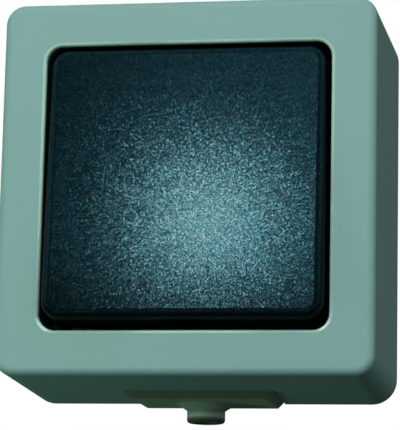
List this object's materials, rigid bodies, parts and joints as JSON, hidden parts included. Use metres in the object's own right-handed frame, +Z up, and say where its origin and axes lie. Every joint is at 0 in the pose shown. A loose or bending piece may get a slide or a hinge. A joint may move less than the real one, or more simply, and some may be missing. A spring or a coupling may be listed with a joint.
{
  "type": "weatherproof rocker switch",
  "caption": "Surface-mounted weatherproof rocker switch: a square hood on a wall box, one large rocker in its window, and a soft cable entry below.",
  "frame": {"origin": "centre of the two wall screw holes, on the wall plane", "axes": "+Y into the wall, -Y out of the face towards the user, +Z up, +X to the user's right"},
  "size_m": [0.0678, 0.0376, 0.0726],
  "materials": {
    "hood": "fine moulded texture, satin",
    "rocker": "anthracite with a fine sparkle, satin gloss",
    "base": "moulded, matte",
    "socket": "thermoset, matte",
    "lever": "moulded, satin",
    "seal": "soft moulded rubber",
    "contact_brass": "stamped strip",
    "contact_tip": "silver alloy rivet",
    "screw_steel": "zinc plated"
  },
  "bodies": {
    "housing": {"hood_frame": "hood", "cable_grommet": "seal", "base_box": "base", "hood_screws": "screw_steel", "hood_screw_seals": "seal", "insert_body": "socket", "insert_cover": "socket", "insert_gasket": "seal", "insert_screws": "screw_steel", "cover_rivets": "contact_brass", "common_contact": "contact_brass", "fixed_contact_upper": "contact_brass", "fixed_contact_lower": "contact_brass", "fixed_contact_tips": "contact_tip", "terminal_common": "contact_brass", "terminal_upper": "contact_brass", "terminal_lower": "contact_brass", "terminal_screws": "screw_steel"},
    "rocker": {"rocker_cap": "rocker", "actuator_lever": "lever", "plunger_spring": "screw_steel"},
    "plunger": {"plunger": "lever"},
    "contact_lever": {"contact_lever": "contact_brass", "moving_contact_tips": "contact_tip"}
  },
  "joints": [
    {"name": "rocker_tilt", "type": "hinge", "parent": "housing", "child": "rocker", "pos_m": [0, -0.024, 0], "axis": [1, 0, 0], "range_deg": [0, 6]},
    {"name": "plunger_slide", "type": "slide", "parent": "rocker", "child": "plunger", "axis": [0, -0.9986, 0.0523], "range_m": [0, 0.0008], "stiffness_N_per_m": 400, "springref_m": -0.002, "deforming": ["plunger_spring"]},
    {"name": "seesaw_tilt", "type": "hinge", "parent": "housing", "child": "contact_lever", "pos_m": [0, -0.0096, 0], "axis": [1, 0, 0], "range_deg": [-18, 0]}
  ],
  "couplings": [
    {"joint": "seesaw_tilt", "follows": "rocker_tilt", "ratio": -3}
  ]
}
